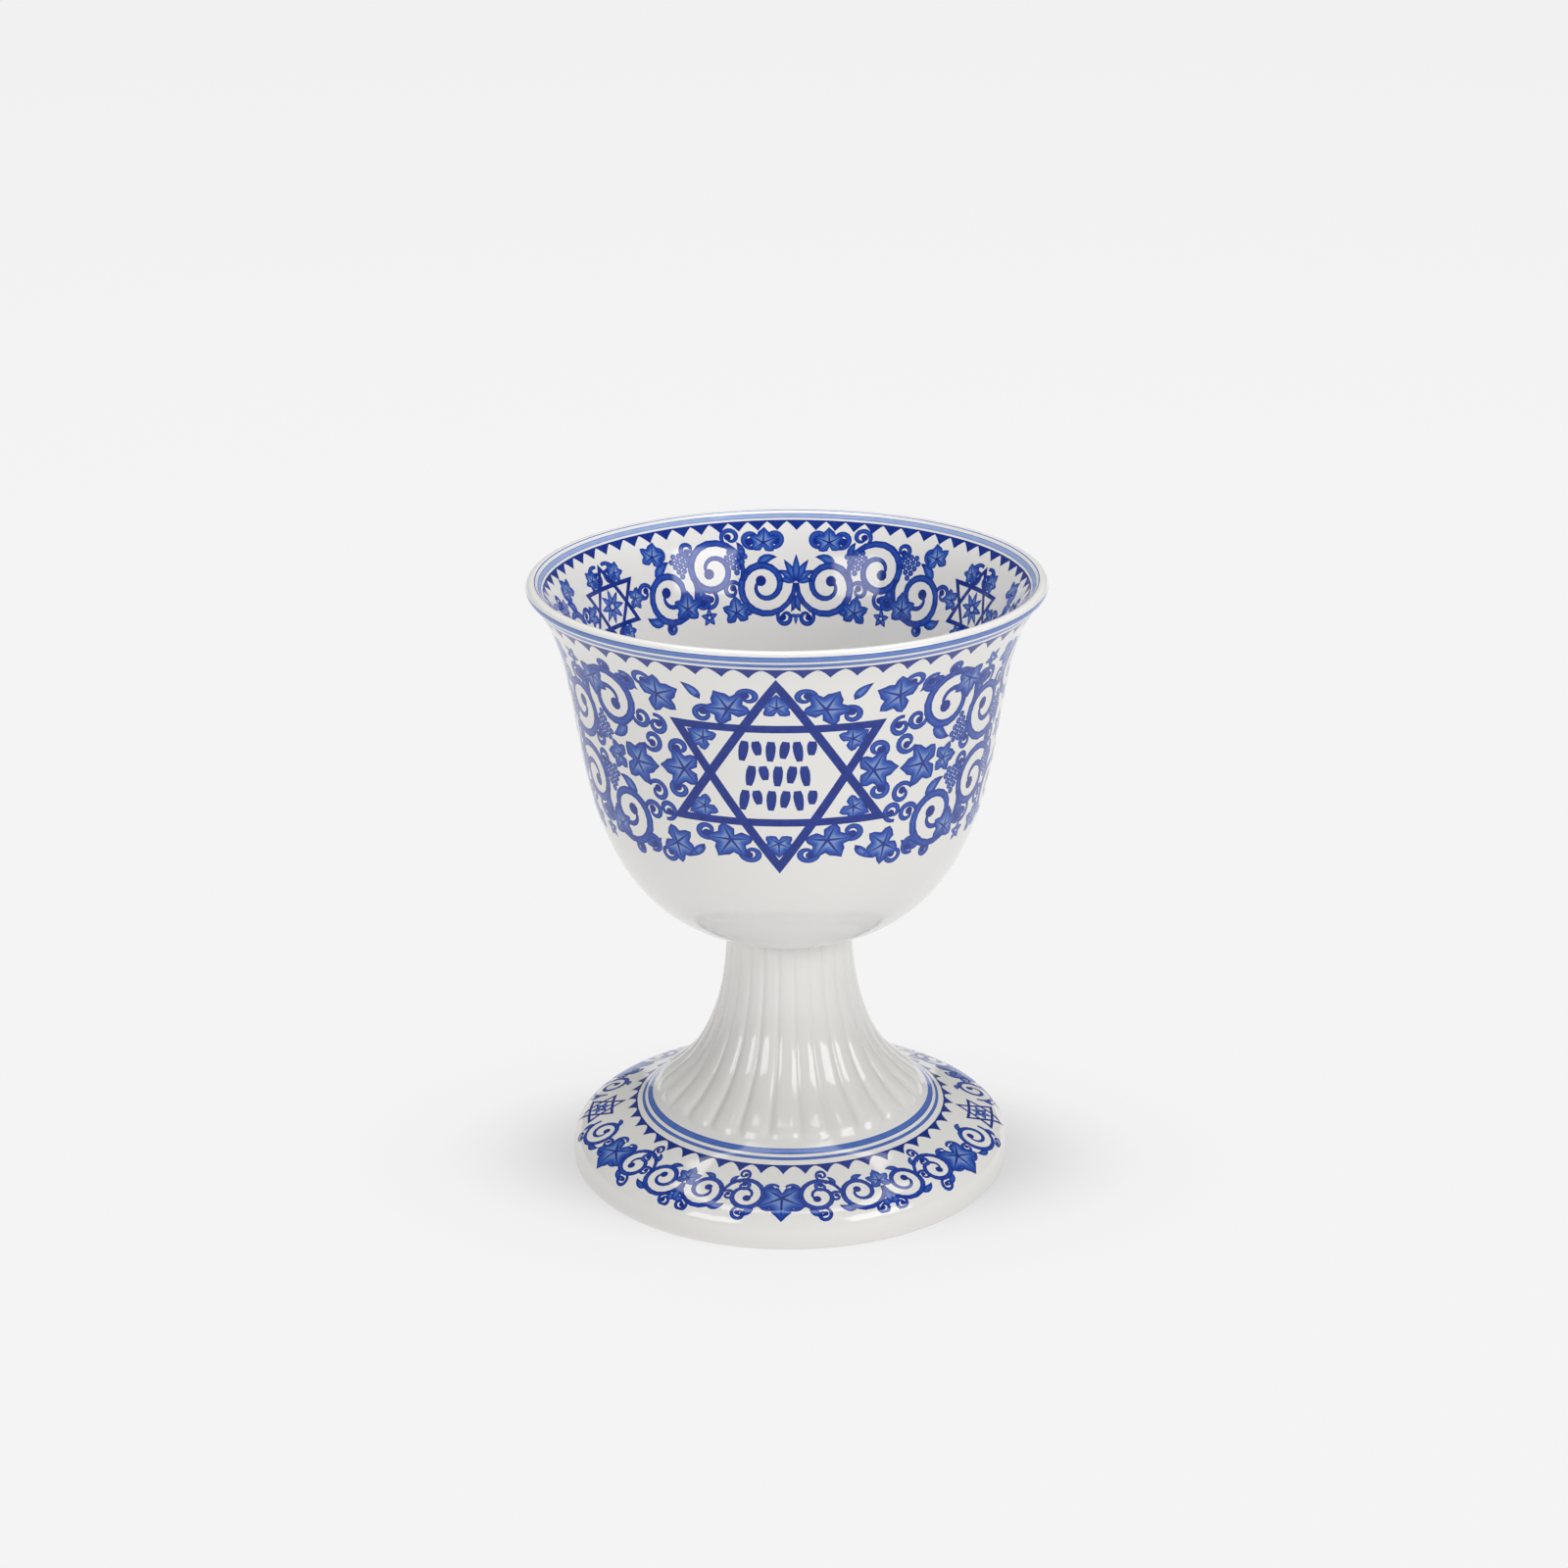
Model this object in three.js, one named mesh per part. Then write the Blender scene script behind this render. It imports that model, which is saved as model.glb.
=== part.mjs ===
// A footed porcelain wine cup: a flared bowl on a reeded stem and a domed, hollow foot.
// The cup is one turned form about the Z axis, with rounded reeds raised along its stem.

import * as THREE from 'three';

// Heights above the table and radii from the axis, in millimetres
const LIP_RADIUS = 45.75;
const LIP_HEIGHT = 110.6;
const LIP_THICKNESS = 2.2;
const BELLY_RADIUS = 37;
const BELLY_HEIGHT = 81;
const BOWL_BASE_RADIUS = 12.2;
const JOINT_HEIGHT = 46.5;
const BOWL_FLOOR_THICKNESS = 4.2;
const BOWL_FLOOR_DIP = 1.4;
const STEM_TOP_RADIUS = 11.4;
const RING_RADIUS = 26;
const RING_HEIGHT = 12.75;
const SHOULDER_RADIUS = 36.7;
const SHOULDER_HEIGHT = 8;
const FOOT_RADIUS = 40.5;
const FOOT_EDGE_HEIGHT = 2.4;
const CONTACT_OUTER_RADIUS = 39;
const CONTACT_WIDTH = 3.2;
const FOOT_WALL = 4;
const HOLLOW_TOP_HEIGHT = 43;

// Reeds of the stem: how many, how high beside the foot, how fast they get lower where the stem is thinner,
// how full they are across, how far above the foot their noses end, how far up from there they sink into
// the stem, and the rows that round the noses, as shares of a nose
const REED_COUNT = 26;
const REED_HEIGHT = 0.9;
const REED_FALL = 1.5;
const REED_FULLNESS = 3.2;
const REED_END_GAP = 1.9;
const REED_SINK_LENGTH = 11;
const NOSE_ROWS = [0, 0.3, 1];

// Directions of the profile, in degrees from straight outward, turning up
const OUTWARD = 0;
const UPWARD = 90;
const HALF_TURN = 180;
const BOWL_BASE_SLOPE = 14;
const BELLY_SLOPE = 80.5;
const LIP_SLOPE = 48;
const STEM_TOP_SLOPE = 91.6;
const RING_SLOPE = 141;
const SHOULDER_SLOPE = 158;

// How far each stretch keeps its first and its last direction, which sets how full its curve is
const FOOT_TUCK_REACH = [0.9, 1.4];
const FOOT_ROLL_REACH = [3.2, 3];
const FOOT_DOME_REACH = [3.5, 3.5];
const STEM_REACH = [15.2, 14.2];
const BELLY_REACH = [18, 14.4];
const FLARE_REACH = [13.3, 8.9];

// The crown of the hollow under the foot: where on the stem it starts, and its breadth half way to the axis
const CROWN_START = 0.9;
const CROWN_RADIUS_SHARE = 0.7;

// Facets round the axis and along each stretch of the profile
const FACETS_PER_REED = 4;
const EDGE_STEPS = 2;
const ROLL_STEPS = 3;
const DOME_STEPS = 2;
const STEM_STEPS = 6;
const BELLY_STEPS = 6;
const FLARE_STEPS = 5;
const LIP_STEPS = 3;
const LINING_STEPS = 4;
const HOLLOW_STEPS = 4;

const PORCELAIN_COLOUR = 0xebece8;
const GLAZE_ROUGHNESS = 0.12;

function direction(degrees) {
  const angle = THREE.MathUtils.degToRad(degrees);
  return new THREE.Vector2(Math.cos(angle), Math.sin(angle));
}

// A smooth stretch of the profile that leaves one point and reaches the next in given directions
function stretch(start, startDegrees, end, endDegrees, [startReach, endReach]) {
  const leaving = direction(startDegrees).multiplyScalar(startReach).add(start);
  const arriving = direction(endDegrees).multiplyScalar(-endReach).add(end);
  return new THREE.CubicBezierCurve(start, leaving, arriving, end);
}

// A point moved to the inner side of the wall, where the profile is followed upwards
function insideOf(curve, t, thickness) {
  const tangent = curve.getTangent(t);
  const inward = new THREE.Vector2(-tangent.y, tangent.x);
  return inward.multiplyScalar(thickness).add(curve.getPoint(t));
}

const contactInner = new THREE.Vector2(CONTACT_OUTER_RADIUS - CONTACT_WIDTH, 0);
const contactOuter = new THREE.Vector2(CONTACT_OUTER_RADIUS, 0);
const footEdge = new THREE.Vector2(FOOT_RADIUS, FOOT_EDGE_HEIGHT);
const shoulder = new THREE.Vector2(SHOULDER_RADIUS, SHOULDER_HEIGHT);
const ring = new THREE.Vector2(RING_RADIUS, RING_HEIGHT);
const stemTop = new THREE.Vector2(STEM_TOP_RADIUS, JOINT_HEIGHT);
const bowlBase = new THREE.Vector2(BOWL_BASE_RADIUS, JOINT_HEIGHT);
const belly = new THREE.Vector2(BELLY_RADIUS, BELLY_HEIGHT);
const lip = new THREE.Vector2(LIP_RADIUS, LIP_HEIGHT);

// Outside of the cup from the table to the lip
const footTuck = stretch(contactOuter, OUTWARD, footEdge, UPWARD, FOOT_TUCK_REACH);
const footRoll = stretch(footEdge, UPWARD, shoulder, SHOULDER_SLOPE, FOOT_ROLL_REACH);
const footDome = stretch(shoulder, SHOULDER_SLOPE, ring, RING_SLOPE, FOOT_DOME_REACH);
const stem = stretch(ring, RING_SLOPE, stemTop, STEM_TOP_SLOPE, STEM_REACH);
const bowlBelly = stretch(bowlBase, BOWL_BASE_SLOPE, belly, BELLY_SLOPE, BELLY_REACH);
const bowlFlare = stretch(belly, BELLY_SLOPE, lip, LIP_SLOPE, FLARE_REACH);

// Rows of the turned form: each a profile point and, on the reeded stem, its share of the stem's length
const rows = [];

function addRow(point, onStem = null) {
  rows.push({ point, onStem });
}

function addStretch(curve, steps) {
  for (let step = 1; step <= steps; step += 1) {
    addRow(curve.getPoint(step / steps));
  }
}

// The hollow under the foot, from its crown on the axis down to the table
const crownEdge = insideOf(stem, CROWN_START, FOOT_WALL);
const crownHeight = THREE.MathUtils.lerp(crownEdge.y, HOLLOW_TOP_HEIGHT, CROWN_RADIUS_SHARE);
addRow(new THREE.Vector2(0, HOLLOW_TOP_HEIGHT));
addRow(new THREE.Vector2(crownEdge.x * CROWN_RADIUS_SHARE, crownHeight));
for (let step = HOLLOW_STEPS; step >= 0; step -= 1) {
  addRow(insideOf(stem, (CROWN_START * step) / HOLLOW_STEPS, FOOT_WALL));
}
addRow(insideOf(footDome, 0, FOOT_WALL));
addRow(contactInner);

// The foot outside
addRow(contactOuter);
addStretch(footTuck, EDGE_STEPS);
addStretch(footRoll, ROLL_STEPS);
addStretch(footDome, DOME_STEPS);

// The stem, with extra rows where the reeds end in rounded noses
const stemLength = stem.getLength();
const reedEnd = REED_END_GAP / stemLength;
const halfPitch = (Math.PI * RING_RADIUS) / REED_COUNT;
const noseShoulder = reedEnd + halfPitch / stemLength;
const sinkEnd = reedEnd + REED_SINK_LENGTH / stemLength;
for (const row of NOSE_ROWS) {
  const share = THREE.MathUtils.lerp(reedEnd, noseShoulder, row);
  addRow(stem.getPointAt(share), share);
}
for (let step = 1; step <= STEM_STEPS; step += 1) {
  const share = THREE.MathUtils.lerp(noseShoulder, 1, step / STEM_STEPS);
  addRow(stem.getPointAt(share), share);
}

// The bowl outside, over the rounded lip and down the inside to its floor
addRow(bowlBase);
addStretch(bowlBelly, BELLY_STEPS);
addStretch(bowlFlare, FLARE_STEPS);
const lipCentre = insideOf(bowlFlare, 1, LIP_THICKNESS / 2);
for (let step = 1; step <= LIP_STEPS; step += 1) {
  const turn = LIP_SLOPE - UPWARD + (HALF_TURN * step) / LIP_STEPS;
  addRow(direction(turn).multiplyScalar(LIP_THICKNESS / 2).add(lipCentre));
}

const bowlLength = bowlBelly.getLength() + bowlFlare.getLength();

function liningPoint(curve, t, lengthBelow) {
  const fromBase = (lengthBelow + curve.getLength() * t) / bowlLength;
  return insideOf(curve, t, THREE.MathUtils.lerp(BOWL_FLOOR_THICKNESS, LIP_THICKNESS, fromBase));
}

for (let step = LINING_STEPS - 1; step >= 0; step -= 1) {
  addRow(liningPoint(bowlFlare, step / LINING_STEPS, bowlBelly.getLength()));
}
for (let step = LINING_STEPS - 1; step >= 0; step -= 1) {
  addRow(liningPoint(bowlBelly, step / LINING_STEPS, 0));
}
const floorEdge = liningPoint(bowlBelly, 0, 0);
addRow(new THREE.Vector2(0, floorEdge.y - BOWL_FLOOR_DIP));

// How far the reeded surface lies outside the profile, at a share of the stem's length and an angle round it.
// The noses stand up from the profile, and further up the crests lie on it with grooves between them
function reedRise(radius, share, angle) {
  const turn = (angle * REED_COUNT) / (2 * Math.PI);
  const across = 2 * Math.abs(turn - Math.round(turn));
  const alongNose = Math.max(0, (noseShoulder - share) / (noseShoulder - reedEnd));
  const crest = Math.max(0, 1 - across ** REED_FULLNESS - alongNose ** REED_FULLNESS);
  const sunk = THREE.MathUtils.smoothstep(share, reedEnd, sinkEnd);
  return REED_HEIGHT * (radius / RING_RADIUS) ** REED_FALL * (crest - sunk);
}

function kiddushCup() {
  const facets = REED_COUNT * FACETS_PER_REED;
  const geometry = new THREE.LatheGeometry(rows.map((row) => row.point), facets);
  const positions = geometry.getAttribute('position');
  for (let facet = 0; facet <= facets; facet += 1) {
    const angle = (facet / facets) * 2 * Math.PI;
    rows.forEach((row, index) => {
      if (row.onStem === null) {
        return;
      }
      const rise = reedRise(row.point.x, row.onStem, angle);
      const tangent = stem.getTangentAt(row.onStem);
      const radius = row.point.x + tangent.y * rise;
      const height = row.point.y - tangent.x * rise;
      const vertex = facet * rows.length + index;
      positions.setXYZ(vertex, radius * Math.sin(angle), height, radius * Math.cos(angle));
    });
  }
  geometry.rotateX(Math.PI / 2);
  const porcelain = new THREE.MeshStandardMaterial({
    color: PORCELAIN_COLOUR,
    roughness: GLAZE_ROUGHNESS,
    metalness: 0,
  });
  const mesh = new THREE.Mesh(geometry, porcelain);
  mesh.name = 'kiddush_cup';
  return mesh;
}

const cup = new THREE.Group();
cup.add(kiddushCup());

export default cup;
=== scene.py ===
# A porcelain wine cup printed in cobalt blue, standing in soft studio light.

import bisect
import cmath
import math

import bmesh
import bpy
from mathutils import Matrix, Vector
from mathutils.geometry import delaunay_2d_cdt


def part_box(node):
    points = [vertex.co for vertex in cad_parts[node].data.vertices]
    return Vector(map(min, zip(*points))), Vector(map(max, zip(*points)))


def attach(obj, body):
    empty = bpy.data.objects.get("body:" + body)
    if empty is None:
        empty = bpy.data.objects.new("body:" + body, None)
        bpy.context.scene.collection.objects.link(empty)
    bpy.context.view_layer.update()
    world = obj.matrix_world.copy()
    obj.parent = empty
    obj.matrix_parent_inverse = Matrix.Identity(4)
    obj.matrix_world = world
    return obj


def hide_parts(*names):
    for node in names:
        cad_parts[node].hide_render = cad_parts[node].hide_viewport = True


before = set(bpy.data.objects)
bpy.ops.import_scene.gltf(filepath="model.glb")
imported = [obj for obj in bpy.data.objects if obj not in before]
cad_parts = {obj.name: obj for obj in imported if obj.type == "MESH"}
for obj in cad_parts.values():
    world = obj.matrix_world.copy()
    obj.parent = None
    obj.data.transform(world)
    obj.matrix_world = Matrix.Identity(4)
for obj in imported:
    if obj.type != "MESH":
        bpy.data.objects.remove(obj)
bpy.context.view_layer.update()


# The body of the cup: a flared bowl on a reeded stem and a domed hollow foot, cast in white porcelain
# and fired as one. Its half outline is drawn in millimetres, as complex numbers: radius + height * 1j.

LIP_RADIUS = 45.75
LIP_HEIGHT = 110.6
LIP_THICKNESS = 2.2
BELLY_RADIUS = 37
BELLY_HEIGHT = 81
BOWL_BASE_RADIUS = 12.2
JOINT_HEIGHT = 46.5
BOWL_FLOOR_THICKNESS = 4.2
BOWL_FLOOR_DIP = 1.4
STEM_TOP_RADIUS = 11.4
RING_RADIUS = 26
RING_HEIGHT = 12.75
SHOULDER_RADIUS = 36.7
SHOULDER_HEIGHT = 8
FOOT_RADIUS = 40.5
FOOT_EDGE_HEIGHT = 2.4
CONTACT_OUTER_RADIUS = 39
CONTACT_WIDTH = 3.2
FOOT_WALL = 4
HOLLOW_TOP_HEIGHT = 43

# Directions of the outline in degrees from straight outward, and how far each stretch keeps them
OUTWARD = 0
UPWARD = 90
BOWL_BASE_SLOPE = 14
BELLY_SLOPE = 80.5
LIP_SLOPE = 48
STEM_TOP_SLOPE = 91.6
RING_SLOPE = 141
SHOULDER_SLOPE = 158
FOOT_TUCK_REACH = (0.9, 1.4)
FOOT_ROLL_REACH = (3.2, 3)
FOOT_DOME_REACH = (3.5, 3.5)
STEM_REACH = (15.2, 14.2)
BELLY_REACH = (18, 14.4)
FLARE_REACH = (13.3, 8.9)
CURVE_POINTS = 240


def polar(length, degrees):
    return cmath.rect(length, math.radians(degrees))


def stretch(start, start_slope, end, end_slope, reach):
    """Points of a smooth curve that leaves start and reaches end in given directions."""
    leaving = start + polar(reach[0], start_slope)
    arriving = end - polar(reach[1], end_slope)
    points = []
    for step in range(CURVE_POINTS + 1):
        t = step / CURVE_POINTS
        u = 1 - t
        points.append(u**3 * start + 3 * u * u * t * leaving + 3 * u * t * t * arriving + t**3 * end)
    return points


def walk_lengths(points):
    lengths = [0.0]
    for before, after in zip(points, points[1:]):
        lengths.append(lengths[-1] + abs(after - before))
    return lengths


class Walk:
    """A stretch of the outline, measured by the length walked along it."""

    def __init__(self, points, facing):
        self.points = points
        self.lengths = walk_lengths(points)
        self.length = self.lengths[-1]
        self.facing = facing

    def point(self, length):
        index = bisect.bisect_right(self.lengths, length) - 1
        index = min(max(index, 0), len(self.points) - 2)
        run = self.lengths[index + 1] - self.lengths[index]
        share = (length - self.lengths[index]) / run
        return self.points[index] + (self.points[index + 1] - self.points[index]) * share

    def normal(self, length):
        near = self.length / len(self.points)
        along = self.point(length + near) - self.point(length - near)
        return along / abs(along) * self.facing

    def length_near(self, place):
        index = min(range(len(self.points)), key=lambda each: abs(self.points[each] - place))
        along = self.points[min(index + 1, len(self.points) - 1)] - self.points[max(index - 1, 0)]
        return self.lengths[index] + ((place - self.points[index]) * along.conjugate()).real / abs(along)

    def between(self, start, end, pace):
        steps = max(1, round(abs(end - start) / pace))
        return [self.point(start + (end - start) * step / steps) for step in range(steps + 1)]


def offset(points, thickness):
    """The inner side of the wall, where the outline is followed upwards."""
    inner = []
    last = len(points) - 1
    for index, point in enumerate(points):
        along = points[min(index + 1, last)] - points[max(index - 1, 0)]
        inner.append(point + along / abs(along) * 1j * thickness[index])
    return inner


contact_outer = complex(CONTACT_OUTER_RADIUS, 0)
contact_inner = complex(CONTACT_OUTER_RADIUS - CONTACT_WIDTH, 0)
foot_edge = complex(FOOT_RADIUS, FOOT_EDGE_HEIGHT)
shoulder = complex(SHOULDER_RADIUS, SHOULDER_HEIGHT)
ring = complex(RING_RADIUS, RING_HEIGHT)
stem_top = complex(STEM_TOP_RADIUS, JOINT_HEIGHT)
bowl_base = complex(BOWL_BASE_RADIUS, JOINT_HEIGHT)
belly = complex(BELLY_RADIUS, BELLY_HEIGHT)
lip = complex(LIP_RADIUS, LIP_HEIGHT)

foot_tuck = stretch(contact_outer, OUTWARD, foot_edge, UPWARD, FOOT_TUCK_REACH)
foot_roll = stretch(foot_edge, UPWARD, shoulder, SHOULDER_SLOPE, FOOT_ROLL_REACH)
foot_dome = stretch(shoulder, SHOULDER_SLOPE, ring, RING_SLOPE, FOOT_DOME_REACH)
stem = stretch(ring, RING_SLOPE, stem_top, STEM_TOP_SLOPE, STEM_REACH)
bowl_belly = stretch(bowl_base, BOWL_BASE_SLOPE, belly, BELLY_SLOPE, BELLY_REACH)
bowl_flare = stretch(belly, BELLY_SLOPE, lip, LIP_SLOPE, FLARE_REACH)

bowl_outer = bowl_belly + bowl_flare[1:]
bowl_lengths = walk_lengths(bowl_outer)
bowl_walls = [
    BOWL_FLOOR_THICKNESS + (LIP_THICKNESS - BOWL_FLOOR_THICKNESS) * length / bowl_lengths[-1]
    for length in bowl_lengths
]
lining = offset(bowl_outer, bowl_walls)
lip_centre = (bowl_outer[-1] + lining[-1]) / 2
LIP_POINTS = 24
lip_round = [
    lip_centre + polar(LIP_THICKNESS / 2, LIP_SLOPE - 90 + 180 * step / LIP_POINTS)
    for step in range(LIP_POINTS + 1)
]
floor_centre = complex(0, lining[0].imag - BOWL_FLOOR_DIP)

# Lengths are walked from the lip's inner edge down the outside and down the inside of the bowl,
# and from the joint down the stem and over the foot. The glaze faces to the left or right of the walk.
FACING_LEFT = 1j
FACING_RIGHT = -1j
outside = Walk(lip_round[::-1] + bowl_outer[-2::-1], FACING_LEFT)
inside = Walk(lining[::-1] + [floor_centre], FACING_RIGHT)
below = Walk(stem[::-1] + foot_dome[-2::-1] + foot_roll[-2::-1] + foot_tuck[-2::-1], FACING_LEFT)

# The hollow below: from a low crown down the inside of the stem and foot to the ring that the cup stands on,
# in coarser steps than the outside
CROWN_START = 0.9
CROWN_SHARE = 0.7
HOLLOW_STRIDE = 24
stem_inner = offset(stem, [FOOT_WALL] * len(stem))[: round(CURVE_POINTS * CROWN_START) + 1]
crown_edge = stem_inner[-1]
crown_rise = HOLLOW_TOP_HEIGHT - crown_edge.imag
crown_shoulder = crown_edge.real * CROWN_SHARE + 1j * (crown_edge.imag + crown_rise * CROWN_SHARE)
dome_inner = offset(foot_dome, [FOOT_WALL] * len(foot_dome))[0]
hollow = [complex(0, HOLLOW_TOP_HEIGHT), crown_shoulder]
hollow += stem_inner[::-HOLLOW_STRIDE] + [dome_inner, contact_inner, contact_outer]

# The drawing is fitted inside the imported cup's own box
low_corner, high_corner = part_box("kiddush_cup")
drawn_radius = max(point.real for point in outside.points)
drawn_height = max(point.imag for point in outside.points)
MM = min((high_corner[0] - low_corner[0]) / 2 / drawn_radius, (high_corner[2] - low_corner[2]) / drawn_height)


# The print: cobalt transfers laid on the body and sealed under the glaze, so they are colour and no relief.
# A motif is an outline in millimetres with the strength of its ink at the edge and at the core, 0 to 1.
# Headings are in degrees from the right, anticlockwise.

DARK = 0.97
MID = 0.66
PALE = 0.4
WHITE = 0.1


def motif(outline, breadth, edge=DARK, core=DARK, spine=()):
    return {"outline": outline, "breadth": breadth, "edge": edge, "core": core, "spine": list(spine)}


def moved(motifs, place):
    """Copies of motifs whose points are put elsewhere by a function that keeps them turning the same way."""
    copies = []
    for one in motifs:
        outline = [place(point) for point in one["outline"]]
        copies.append({**one, "outline": outline, "spine": [place(point) for point in one["spine"]]})
    return copies


def turned_over(motifs, place):
    """Mirrored copies, their outlines reversed so that they still run anticlockwise."""
    copies = moved(motifs, place)
    for one in copies:
        one["outline"].reverse()
    return copies


def mirrored(motifs, axis):
    return turned_over(motifs, lambda point: complex(2 * axis - point.real, point.imag))


def flipped(motifs, level):
    return turned_over(motifs, lambda point: complex(point.real, 2 * level - point.imag))


def stroke(path, widths, edge=DARK, core=MID):
    """A drawn line of varying width."""
    left = []
    right = []
    last = len(path) - 1
    for index, point in enumerate(path):
        along = path[min(index + 1, last)] - path[max(index - 1, 0)]
        side = along / abs(along) * 1j * widths[index] / 2
        left.append(point + side)
        right.append(point - side)
    return motif(right + left[::-1], max(widths) / 2, edge, core, path[1:-1])


DISC_SIDES = 9
SMALL_DISC_SIDES = 7


def disc(centre, radius, sides=DISC_SIDES, edge=DARK, core=DARK):
    outline = [centre + polar(radius, 360 * side / sides) for side in range(sides)]
    return motif(outline, radius, edge, core, [centre])


LEAF_STEPS = 6
LEAF_BELLY = 0.75


def leaf(base, heading, length, width, bend=0.0):
    """A pointed leaf along a bent midrib, broadest nearer its base."""
    path = [base]
    for step in range(LEAF_STEPS):
        path.append(path[-1] + polar(length / LEAF_STEPS, heading + bend * (step + 0.5) / LEAF_STEPS))
    left = []
    right = []
    for step in range(1, LEAF_STEPS):
        along = path[step + 1] - path[step - 1]
        half = width / 2 * math.sin(math.pi * (step / LEAF_STEPS) ** LEAF_BELLY)
        side = along / abs(along) * 1j * half
        left.append(path[step] + side)
        right.append(path[step] - side)
    return motif([path[0]] + right + [path[-1]] + left[::-1], width / 2, DARK, PALE, path[2:-2])


FAN_TAPER = 0.34
FAN_TAPER_POWER = 1.4
FAN_BEND = 36


def fan(base, heading, size, petals, spread, width):
    """A palmette: leaves spread like a hand, the middle one longest and drawn last."""
    motifs = []
    half = (petals - 1) / 2
    for petal in sorted(range(petals), key=lambda place: -abs(place - half)):
        off = (petal - half) / half
        length = size * (1 - FAN_TAPER * abs(off) ** FAN_TAPER_POWER)
        motifs.append(leaf(base, heading + spread * off, length, size * width, FAN_BEND * off))
    return motifs


# Outline of half a vine leaf: degrees from its tip, and reach from its middle against its length
VINE_LOBES = (
    (0, 0.6), (13, 0.49), (25, 0.45), (38, 0.37), (50, 0.47), (62, 0.56), (76, 0.47), (94, 0.35),
    (110, 0.43), (126, 0.48), (142, 0.4), (164, 0.31), (180, 0.15),
)
VINE_MIDDLE = 0.42
VINE_BREADTH = 0.16
VINE_VEINS = ((0, 0.48), (62, 0.44), (-62, 0.44), (126, 0.36), (-126, 0.36))
VEIN_WIDTHS = (0.06, 0.05, 0.02)
BETWEEN_VEINS = (-153, -94, -31, 31, 94, 153)
BETWEEN_REACH = 0.17


def vine_leaf(base, heading, size):
    """A leaf with five pointed lobes, paler inside, with a dark vein in each lobe."""
    middle = base + polar(size * VINE_MIDDLE, heading)
    outline = [middle + polar(size * reach, heading + angle) for angle, reach in VINE_LOBES]
    outline += [middle + polar(size * reach, heading - angle) for angle, reach in VINE_LOBES[-2:0:-1]]
    between = [middle + polar(size * BETWEEN_REACH, heading + angle) for angle in BETWEEN_VEINS]
    motifs = [motif(outline, size * VINE_BREADTH, DARK, PALE, between)]
    for angle, reach in VINE_VEINS:
        path = [middle + polar(size * reach * share, heading + angle) for share in (0, 0.5, 1)]
        motifs.append(stroke(path, [size * width for width in VEIN_WIDTHS], DARK, DARK))
    return motifs


BERRY_ROWS = (3, 4, 3, 2, 1)
BERRY_SHARE = 0.122
BERRY_ROW_STEP = 1.62
BERRY_STEP = 1.9


def grapes(top, size):
    """A hanging bunch: rows of berries that narrow to one."""
    motifs = []
    berry = size * BERRY_SHARE
    for row, count in enumerate(BERRY_ROWS):
        level = top - 1j * berry * (1 + BERRY_ROW_STEP * row)
        for place in range(count):
            across = berry * BERRY_STEP * (place - (count - 1) / 2)
            motifs.append(disc(level + across, berry, SMALL_DISC_SIDES, DARK, PALE))
    return motifs


PETAL_BREADTH = 3
EYE_SHARE = 0.3
PUPIL_SHARE = 0.15


def rosette(centre, radius, petals):
    """A small flower with a white eye."""
    motifs = []
    for petal in range(petals):
        motifs.append(leaf(centre, UPWARD + 360 * petal / petals, radius, radius * PETAL_BREADTH / petals))
    motifs.append(disc(centre, radius * EYE_SHARE))
    motifs.append(disc(centre, radius * PUPIL_SHARE, SMALL_DISC_SIDES, WHITE, WHITE))
    return motifs


CURL_STEP = 20
BRUSH_START = 0.05
BRUSH_SWELL = 0.7


def scroll(start, heading, sweep, wide, tight, thick, thin, bulb):
    """A curling stem that tightens as it turns, swells like a brush line and ends in a bulb."""
    steps = round(abs(sweep) / CURL_STEP)
    path = [start]
    headings = [heading]
    for step in range(steps):
        radius = wide + (tight - wide) * (step + 0.5) / steps
        run = radius * math.radians(abs(sweep)) / steps
        path.append(path[-1] + polar(run, heading + sweep / steps / 2))
        heading += sweep / steps
        headings.append(heading)
    widths = []
    for step in range(steps + 1):
        pressure = math.sin(math.pi * (BRUSH_START + (1 - BRUSH_START) * step / steps) ** BRUSH_SWELL)
        widths.append(thin + (thick - thin) * pressure)
    return [stroke(path, widths), disc(path[-1], bulb)], list(zip(path, headings))


CURL_SWEEP = 440
CURL_TIGHT = 0.5
CURL_THICK = 1.05
CURL_THIN = 0.4
CURL_BULB = 0.76
LEFT = 1
RIGHT = -1


def curl(start, heading, turn, radius, weight=1.0):
    """A small spiral that winds up to the left or to the right."""
    sizes = [weight * size for size in (CURL_TIGHT, CURL_THICK, CURL_THIN, CURL_BULB)]
    return scroll(start, heading, turn * CURL_SWEEP, radius, *sizes)[0]


# A volute's sizes against its own radius, and how its leaves and curls leave it, in degrees
VOLUTE_RADIUS = 6.8
VOLUTE_SWEEP = 620
VOLUTE_TIGHT = 0.17
VOLUTE_THICK = 0.235
VOLUTE_THIN = 0.08
VOLUTE_BULB = 0.176
LEAF_LEAN = 44
LEAF_BEND = 64
LEAF_BREADTH = 0.42
CURL_LEAN = 8


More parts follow.
